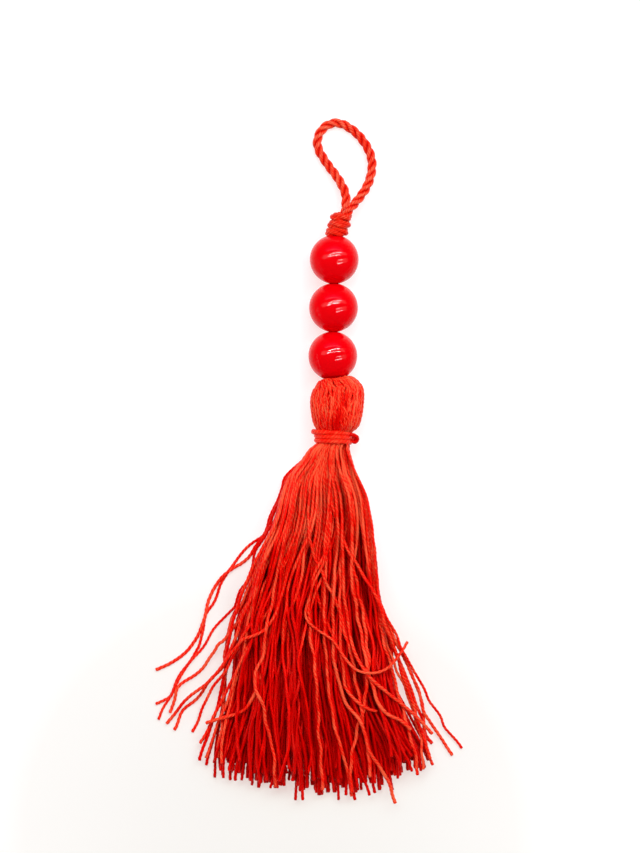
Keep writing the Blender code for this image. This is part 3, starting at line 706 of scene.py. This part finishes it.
# ==== head ====
def make_head_threads():
    """Folded threads side by side round the head, from the cup's rim to the tie."""
    chance = random.Random(HEAD_SEED)
    height, centre_x, centre_z, reach = smooth_route(HEAD_RINGS, step=0.19).T
    near_fold = eased(height, *FOLD_HEIGHTS)
    groove = np.interp(height, GROOVE_HEIGHTS, GROOVE_ANGLES)
    groove_share = eased(height, *GROOVE_FADE)
    radius = np.minimum(HEAD_THREAD_RADIUS, HEAD_THREAD_TAPER * reach**0.5)
    threads = Threads(HEAD_PROFILE)
    for layer in HEAD_LAYERS:
        for number in range(layer.threads):
            around = math.tau * (number + chance.uniform(-layer.crowd, layer.crowd)) / layer.threads
            phase = chance.uniform(0, math.tau)
            sway = layer.wander * np.sin(height / HEAD_SWAY_LENGTH + phase)
            ripple = HEAD_RIPPLE.size * np.sin(height / HEAD_RIPPLE.length + 3 * phase)
            angle = around + sway + ripple
            sunk = groove_share * bump(angle - groove, GROOVE_WIDTH)
            uneven = chance.uniform(-HEAD_UNEVEN, HEAD_UNEVEN)
            out = reach - radius + layer.proud + uneven - GROOVE_DEPTH * sunk
            fold = np.interp(np.cos(angle), FOLD_ACROSS, FOLD_SHIFTS)
            fold = fold + chance.uniform(-FOLD_UNEVEN, FOLD_UNEVEN)
            x = centre_x + out * np.cos(angle)
            z = np.maximum(centre_z + out * np.sin(angle), radius + 0.02)
            path = np.column_stack([x, height + near_fold * fold, z])
            outward = np.column_stack([np.cos(angle), np.zeros_like(angle), np.sin(angle)])
            # Painted glints, and painted shade in the groove and above the tie.
            glint = HEAD_GLINT.size * np.sin(height / HEAD_GLINT.length + 5 * phase)
            tone = chance.gauss(*HEAD_TONE) + glint - GROOVE_SHADE_TONE * sunk
            tone = tone - shaded(HEAD_SHADE, angle, height)
            threads.add(path, radius, HEAD_THREAD_LAY, outward, tone, phase)
    head = threads.make("folded_head", silk)
    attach(head, "root")
    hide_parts("silk_bundle")


def make_head_core():
    """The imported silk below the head's threads, hollowed under the lowest bead."""
    profile = [HEAD_CORE_CUP]
    for ring in HEAD_RINGS[1:]:
        sunk = HEAD_CORE_SUNK if ring.y > HEAD_CORE_CUP[1] else 0.0
        profile.append((ring.radius - HEAD_CORE_INSET, ring.y - sunk))
    profile.append((0.4, HEAD_RINGS[-1].y))
    core = turned_piece("head_core", profile, 48, core_silk, HEAD_CORE_AXIS, (0.0, 1.0, 0.0))
    ring_y, ring_x = zip(*[(ring.y, ring.x) for ring in reversed(HEAD_RINGS[2:])])
    for vertex in core.data.vertices:
        vertex.co.x += np.interp(vertex.co.y / MM, ring_y, ring_x) * MM
        vertex.co.z = max(vertex.co.z, HEAD_CORE_LOWEST * MM)
    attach(core, "root")
    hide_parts("silk_bundle")


# ==== strands ====
class Pile:
    """Height of the strands that lie on the floor already, on a fine grid."""

    CELL = 0.12
    LEFT, LOW = -50.0, -90.0
    WIDTH, DEPTH = 100.0, 84.0
    ACROSS = np.linspace(-0.95, 0.95, 11)  # places across a strand, in shares of its radius
    STEEPEST = 0.3  # a strand bridges hollows rather than drop faster
    SOFTENING = (1.4, 0.8, 0.5)  # lengths over which a strand is evened out, in turn
    LAST_SOFTENING = 0.3
    TOP_BLUR = 1.3
    YIELD = 0.6  # share of a strand's half thickness that holds up the next one
    RESTING_Y = (-13.0, -19.0)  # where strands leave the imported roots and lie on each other
    LEAST_COVER = -0.15

    def __init__(self):
        self.height = np.zeros((int(self.WIDTH / self.CELL), int(self.DEPTH / self.CELL)))
        self.crest = np.zeros_like(self.height)

    def cells(self, path, radius):
        """Grid cells under a strand, and the strand's own half thickness over each."""
        ahead = unit(np.gradient(path[:, :2], axis=0))
        side = np.column_stack([-ahead[:, 1], ahead[:, 0]])
        reach = radius[:, None] * self.ACROSS
        x = path[:, 0:1] + reach * side[:, 0:1]
        y = path[:, 1:2] + reach * side[:, 1:2]
        i = np.clip(((x - self.LEFT) / self.CELL).astype(int), 0, self.height.shape[0] - 1)
        j = np.clip(((y - self.LOW) / self.CELL).astype(int), 0, self.height.shape[1] - 1)
        return (i, j), radius[:, None] * np.sqrt(1 - self.ACROSS**2)

    def lay(self, path, radius, step):
        """Raise the path so that it lies on what is below it, then add it to the pile."""
        cells, half = self.cells(path, radius)
        need = np.maximum((self.height[cells] + half).max(axis=1), radius)
        wanted = np.maximum(path[:, 2], radius)
        need = wanted + eased(path[:, 1], *self.RESTING_Y) * (np.maximum(need, wanted) - wanted)
        z = need.copy()
        for heights in (z, z[::-1]):
            for i in range(1, len(z)):
                heights[i] = max(heights[i], heights[i - 1] - self.STEEPEST * step)
        for sigma in self.SOFTENING:
            z = np.maximum(blurred(z, sigma / step), need)
        z = np.maximum(blurred(z, self.LAST_SOFTENING / step), radius)
        np.maximum.at(self.height, cells, z[:, None] + self.YIELD * half)
        np.maximum.at(self.crest, cells, z[:, None] + half)
        return np.column_stack([path[:, :2], z])

    def top(self):
        """The whole pile's top, smoothed."""
        top = np.apply_along_axis(blurred, 0, self.crest, self.TOP_BLUR / self.CELL)
        return np.apply_along_axis(blurred, 1, top, self.TOP_BLUR / self.CELL)

    def cover(self, top, path, radius):
        """How far below the pile's top a strand's upper face lies."""
        (i, j), _ = self.cells(path, radius)
        middle = len(self.ACROSS) // 2
        return np.maximum(top[i[:, middle], j[:, middle]] - path[:, 2] - radius, self.LEAST_COVER)


def fan_edges(y):
    """The fan's left and right edges at these heights."""
    heights, left, right = np.array(FAN_EDGES)[::-1].T
    return np.interp(y, heights, left), np.interp(y, heights, right)


def neck_to_fan(y, disc, share, q):
    """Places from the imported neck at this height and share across, out to q in the fan."""
    chord = NECK_RADIUS * math.sqrt(max(0.0, 1 - disc * disc))
    neck_x = NECK_X + chord * (2 * share - 1)
    neck_left, neck_right = fan_edges(NECK_END_Y)
    neck_q = (neck_x - neck_left) / (neck_right - neck_left)
    left, right = fan_edges(y)
    opened = eased(y, NECK_END_Y, FAN_FULL_Y)
    return left + ((1 - opened) * neck_q + opened * q) * (right - left), opened


def waved(y, waves, chance):
    """Sideways waves of a loose strand, growing below the neck."""
    amount = eased(y, *WAVES_Y)
    offset = np.zeros(len(y))
    for wave in waves:
        length = wave.length * chance.uniform(0.85, 1.2)
        size = wave.size * chance.uniform(0.4, 1.6)
        offset += amount * size * np.sin(math.tau * y / length + chance.uniform(0, math.tau))
    return offset


def row_path(row, share, zigzag, chance):
    """Course of an ordinary strand of a row, from the neck to past its cut end."""
    line = STRAND_ROWS[row]
    spread = eased(FAN_Y, *FULL_SPREAD_Y)
    stray = chance.uniform(-line.stray, line.stray) / (line.strands - 1)
    inner = 2 * math.sqrt(share * (1 - share))
    q = line.first_q + (line.last_q - line.first_q) * (share + stray * spread)
    q = q + inner * chance.gauss(0.0, line.drift) * spread
    bunched = np.sin(math.tau * (BUNCHES * q + FAN_Y / BUNCH_LENGTH) + ROW_PHASE * row)
    q = q + line.bunch * spread * bunched
    settled = np.clip((FAN_FULL_Y - FAN_Y) / SETTLING_LENGTH, 0.0, 1.0)
    fan_z = line.root_z + (line.end_z - line.root_z) * settled
    return fan_path(line.disc + ROW_UNEVEN * zigzag, share, q, fan_z, line.wander, chance)


def edge_path(row, side, chance):
    """Course of a strand that strays at the fan's left (0) or right (1) edge."""
    line = STRAND_ROWS[row]
    spread = eased(FAN_Y, *FULL_SPREAD_Y)
    inset = chance.uniform(*EDGE_STRAY_STARTS) * (1 - spread)
    inset = inset + chance.uniform(*EDGE_STRAY_ENDS[side]) * spread
    inward = 1 - 2 * side
    return fan_path(line.disc, side + 0.05 * inward, side + inset * inward, line.end_z, 1.0, chance)


def fan_path(disc, share, q, fan_z, wander, chance):
    """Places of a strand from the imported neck, at this share across, out to q in the fan."""
    x, opened = neck_to_fan(FAN_Y, disc, share, q)
    x = x + wander * waved(FAN_Y, STRAND_WAVES, chance)
    z = (1 - opened) * (NECK_Z + NECK_RADIUS * disc) + opened * fan_z
    return np.column_stack([x, FAN_Y, z])


def course_path(course, chance):
    """Course of a strand with a route of its own, from the neck to its cut end."""
    first_x, first_y = course.points[0]
    left, right = fan_edges(first_y)
    q = (first_x - left) / (right - left)
    y = np.append(np.arange(ROOT_Y, first_y + 3.0, -1.5), first_y)
    x, opened = neck_to_fan(y, course.disc, min(max(q, 0.04), 0.96), q)
    x[-1] = first_x
    z = (1 - opened) * (NECK_Z + NECK_RADIUS * course.disc) + opened * (2.0 + 4.0 * course.disc)
    routed = np.array([(px, py, THREAD_RADIUS) for px, py in course.points[1:]])
    route = smooth_route(np.vstack([np.column_stack([x, y, z]), routed]), COURSE_STEP)
    route[:, 0] += waved(route[:, 1], COURSE_WAVES, chance)
    return route


def cut_length(share, chance):
    """Length of a strand at this share across its row: shorter at the right."""
    return chance.gauss(*STRAND_LENGTH) - RIGHT_SHORTER * max(0.0, share - RIGHT_FROM)


def cut_to(path, length):
    return path[lengths_along(path) <= length]


def strand_radius(path, chance):
    """Thin and packed in the neck, full below it, a little frayed at the cut end."""
    full = eased(path[:, 1], *FULL_RADIUS_Y) ** 0.5
    along = lengths_along(path)
    left = along[-1] - along
    radius = NECK_THREAD_RADIUS + (THREAD_RADIUS - NECK_THREAD_RADIUS) * full
    radius = radius * (1 + FRAYED * np.exp(-left / FRAYED_LENGTH)) * chance.uniform(0.78, 1.02)
    return radius * np.where(left < CUT_EDGE, CUT_EDGE_SHARE, 1.0)


def lay_strands(pile, chance):
    """Each strand's piece number, path and radius, laid row by row on what is below it."""
    laid = []

    def lay(piece, path, step, thick=1.0):
        path = even_steps(path, step)
        thicker = 1 + (thick - 1) * eased(path[:, 1], *THICK_Y)
        radius = thicker * strand_radius(path, chance)
        laid.append((piece, pile.lay(path, radius, step), radius))

    for row, line in enumerate(STRAND_ROWS):
        order = list(range(line.strands))
        chance.shuffle(order)
        for number in order:
            share = number / (line.strands - 1)
            path = row_path(row, share, number % 3 - 1, chance)
            lay(row, cut_to(path, cut_length(share, chance)), line.step, line.thick)
        for side in (0, 1) * EDGE_STRAYS * (row < EDGE_STRAY_ROWS):
            length = cut_length(side, chance)
            lay(row, cut_to(edge_path(row, side, chance), length), line.step)
        for course in COURSES:
            if course.after_row == row:
                lay(len(STRAND_ROWS), course_path(course, chance), COURSE_STEP)
    return laid


def strand_tone(path, loose, covered, chance):
    """Tone along a strand: painted glints, and painted shade low down and where others cover it."""
    y = path[:, 1]
    down = eased(y, *LOW_Y)
    glint = np.sin(y / chance.uniform(0.5, 1.6) + 2 * np.sin(y / chance.uniform(2, 5)))
    tone = chance.gauss(*(LOOSE_TONE if loose else STRAND_TONE)) + GLINT * glint
    if not loose:
        tone = tone + down * chance.gauss(*LOW_SHADE_TONE) - shaded(MIDDLE_SHADE, path[:, 0], y)
    cover_shade = COVER_SHADE_TONE * (ROOT_COVER_SHARE + (1 - ROOT_COVER_SHARE) * down)
    return tone - cover_shade * blurred(covered, sigma=3.0)


def make_strands():
    """The spread strands, one piece for each row and one for the loose ones."""
    chance = random.Random(STRAND_SEED)
    pile = Pile()
    laid = lay_strands(pile, chance)
    top = pile.top()
    groups = [Threads(STRAND_PROFILE) for _ in STRAND_PIECES]
    for group, path, radius in laid:
        covered = pile.cover(top, path, radius)
        tone = strand_tone(path, group == len(STRAND_ROWS), covered, chance)
        lay = THREAD_LAY * chance.uniform(0.9, 1.15)
        turn = chance.uniform(0, 6.28)
        side_share = 1.0 - (1.0 - LOW_SIDE_SHARE) * eased(path[:, 1], *LOW_Y)
        groups[group].add(path, radius, lay, UPWARD, tone, turn, side_share)
    for name, threads in zip(STRAND_PIECES, groups):
        piece = threads.make(name, silk)
        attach(piece, "root")
        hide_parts("silk_bundle")


# ==== tie ====
def make_tie():
    """Thread wound round the neck, with its knot at the right."""
    cx, cy, cz = TIE_CENTRE
    half = TIE_TURNS * TIE_PITCH / 2
    share = np.linspace(0.0, 1.0, 300)
    angle = math.pi - math.tau * TIE_TURNS * share
    out = TIE_COIL_RADIUS + TIE_BULGE * bump(TIE_TURNS * share, TIE_BULGE_TURNS)
    x = cx + out * np.cos(angle)
    y = cy + half - 2 * half * share
    z = cz + out * np.sin(angle)
    coil = even_steps(np.column_stack([x, y, z]), step=0.2)
    looser = np.exp(-((lengths_along(coil) / TIE_FIRST_LENGTH) ** 4))
    radius = TIE_THREAD_RADIUS * (1 + TIE_FIRST_THICKER * looser)
    threads = Threads(TIE_PROFILE)
    threads.add(coil, radius, TIE_THREAD_LAY, coil - np.array(TIE_CENTRE), TIE_TONE)
    end = smooth_route(TIE_END_ROUTE, step=0.15)
    threads.add(end, TIE_END_RADIUS, TIE_THREAD_LAY, UPWARD, TIE_END_SHADE_TONE)
    tie = threads.make("neck_binding", silk)
    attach(tie, "root")
    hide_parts("neck_tie")


# ==== stage ====
# In metres: where a warm painted shade lies on the paper, and how far it reaches.
DIM_SPOT = (-0.013, -0.0885, 0.0)
DIM_RANGE = (0.008, 0.07)
PAPER = (  # share of that range, and the paper's colour
    (0.0, (0.258, 0.360, 0.347)),
    (0.75, (0.271, 0.380, 0.369)),
    (1.0, (0.303, 0.430, 0.430)),
)
LIT_RANGE = (0.14, 1.1)  # metres from the tassel, over which painted light on the paper falls off
LIT_SHARES = (1.0, 0.1)
PAPER_GLOW = 1.6  # painted glow of the paper, so that shadows on it stay pale
# Reddish glow on bluish paper: white where lit, painted pink in the paper's shadows.
GLOW_TINT = (1.63, 0.94, 0.92)
FLOOR_HALF = 1.5  # metres


def make_floor():
    """Pale paper with a painted glow, painted shade below the cut ends and painted light that falls off far
    from the tassel.
    """
    made, tree, shader = new_material("pale_floor", roughness=0.8, specular=0.2)
    places = add_places(tree)
    near = add_vector_math(tree, "DISTANCE", places, DIM_SPOT)["Value"]
    away = add_vector_math(tree, "DISTANCE", places, (0.0, 0.0, 0.0))["Value"]
    paper = add_ramp(tree, add_range(tree, near, DIM_RANGE, kind="SMOOTHSTEP"), PAPER)
    lit = add_range(tree, away, LIT_RANGE, LIT_SHARES, "SMOOTHSTEP")
    shown = add_vector_math(tree, "SCALE", paper, lit)["Vector"]
    glow = add_vector_math(tree, "MULTIPLY", shown, GLOW_TINT)["Vector"]
    tree.links.new(shown, shader.inputs["Base Color"])
    tree.links.new(glow, shader.inputs["Emission Color"])
    shader.inputs["Emission Strength"].default_value = PAPER_GLOW
    mesh = bpy.data.meshes.new("floor")
    corners = [(FLOOR_HALF * x, FLOOR_HALF * y, 0) for x, y in ((-1, -1), (1, -1), (1, 1), (-1, 1))]
    mesh.from_pydata(corners, [], [(0, 1, 2, 3)])
    mesh.materials.append(made)
    floor = linked("floor", mesh)


Softbox = namedtuple(
    "Softbox", "name place length width radiance roll shape colour",
    defaults=("RECTANGLE", (1.0, 1.0, 1.0)),
)
SOFTBOXES = (  # places and sizes in metres, rolls in degrees
    Softbox("tube_main_far", (0.115, 0.474, 0.768), 0.96, 0.022, 58.0, 10.5),
    Softbox("tube_main_near", (0.044, 0.286, 0.826), 1.0, 0.022, 58.0, 8.5),
    Softbox("tube_side_far", (0.444, -0.055, 0.875), 0.43, 0.03, 19.0, 16.0),
    Softbox("tube_side_near", (0.452, -0.262, 0.806), 0.55, 0.03, 23.0, 14.0),
    Softbox("box_left", (-0.60, 0.225, 0.72), 0.7, 0.3, 0.85, 16.0, "ELLIPSE"),
    Softbox("box_low_left", (-0.94, -0.30, 0.15), 0.26, 1.0, 4.0, 0.0, "ELLIPSE"),
    Softbox("box_right_far", (0.71, 0.427, 0.544), 0.5, 0.25, 1.2, -24.0, "ELLIPSE"),
    Softbox("box_right_near", (0.783, -0.058, 0.579), 0.55, 0.35, 0.65, 12.0, "ELLIPSE"),
    Softbox("strip_arc", (0.02, 0.74, 0.67), 1.3, 0.05, 1.2, 3.0),
    Softbox("cool_glow", (0.0, 1.0, 0.55), 1.8, 0.8, 0.55, 0.0, colour=(0.35, 0.2, 1.0)),
)
WORLD_GLOW = (0.55, 0.035)  # the room's light at the horizon, and from WORLD_HIGH up
WORLD_HIGH = 0.55


def area_light(box):
    """A softbox that faces the tassel. Before its roll, its length is square to Y."""
    data = bpy.data.lights.new(box.name, "AREA")
    data.shape = box.shape
    data.size, data.size_y = box.length, box.width
    fill = math.pi / 4 if box.shape == "ELLIPSE" else 1.0
    data.energy = box.radiance * math.pi * box.length * box.width * fill
    data.color = box.colour
    light = linked(box.name, data)
    away = Vector(box.place).normalized()
    along = Vector((0.0, 1.0, 0.0)).cross(away).normalized()
    turned = Matrix((along, away.cross(along), away)).transposed().to_4x4()
    rolled = Matrix.Rotation(math.radians(box.roll), 4, "Z")
    light.matrix_world = Matrix.Translation(box.place) @ turned @ rolled


def make_lights():
    """Softboxes, and a room that is brighter near the horizon."""
    for box in SOFTBOXES:
        area_light(box)
    world = bpy.data.worlds.new("studio")
    bpy.context.scene.world = world
    world.use_nodes = True
    tree = world.node_tree
    direction = add_node(tree, "TexCoord").outputs["Generated"]
    height = add_node(tree, "SeparateXYZ", {0: direction}).outputs["Z"]
    glow = add_range(tree, height, (0.0, WORLD_HIGH), WORLD_GLOW, "SMOOTHSTEP")
    tree.links.new(glow, tree.nodes["Background"].inputs["Color"])


def make_camera():
    """A camera straight above the tassel, at the photograph's scale."""
    data = bpy.data.cameras.new("camera")
    data.sensor_fit = "VERTICAL"
    data.sensor_height = SENSOR_HEIGHT
    data.lens = SENSOR_HEIGHT * CAMERA_DISTANCE / (PHOTO_HEIGHT * MM_PER_PIXEL)
    data.clip_start = 0.01
    camera = linked("camera", data)
    x, y, z = VIEW_CENTRE
    camera.location = (x * MM, y * MM, (z + CAMERA_DISTANCE) * MM)
    bpy.context.scene.camera = camera


make_camera()
make_hanging_cord()
make_beads()
make_head_threads()
make_head_core()
make_strands()
make_tie()
make_floor()
make_lights()
bpy.context.scene.view_settings.view_transform = "Standard"
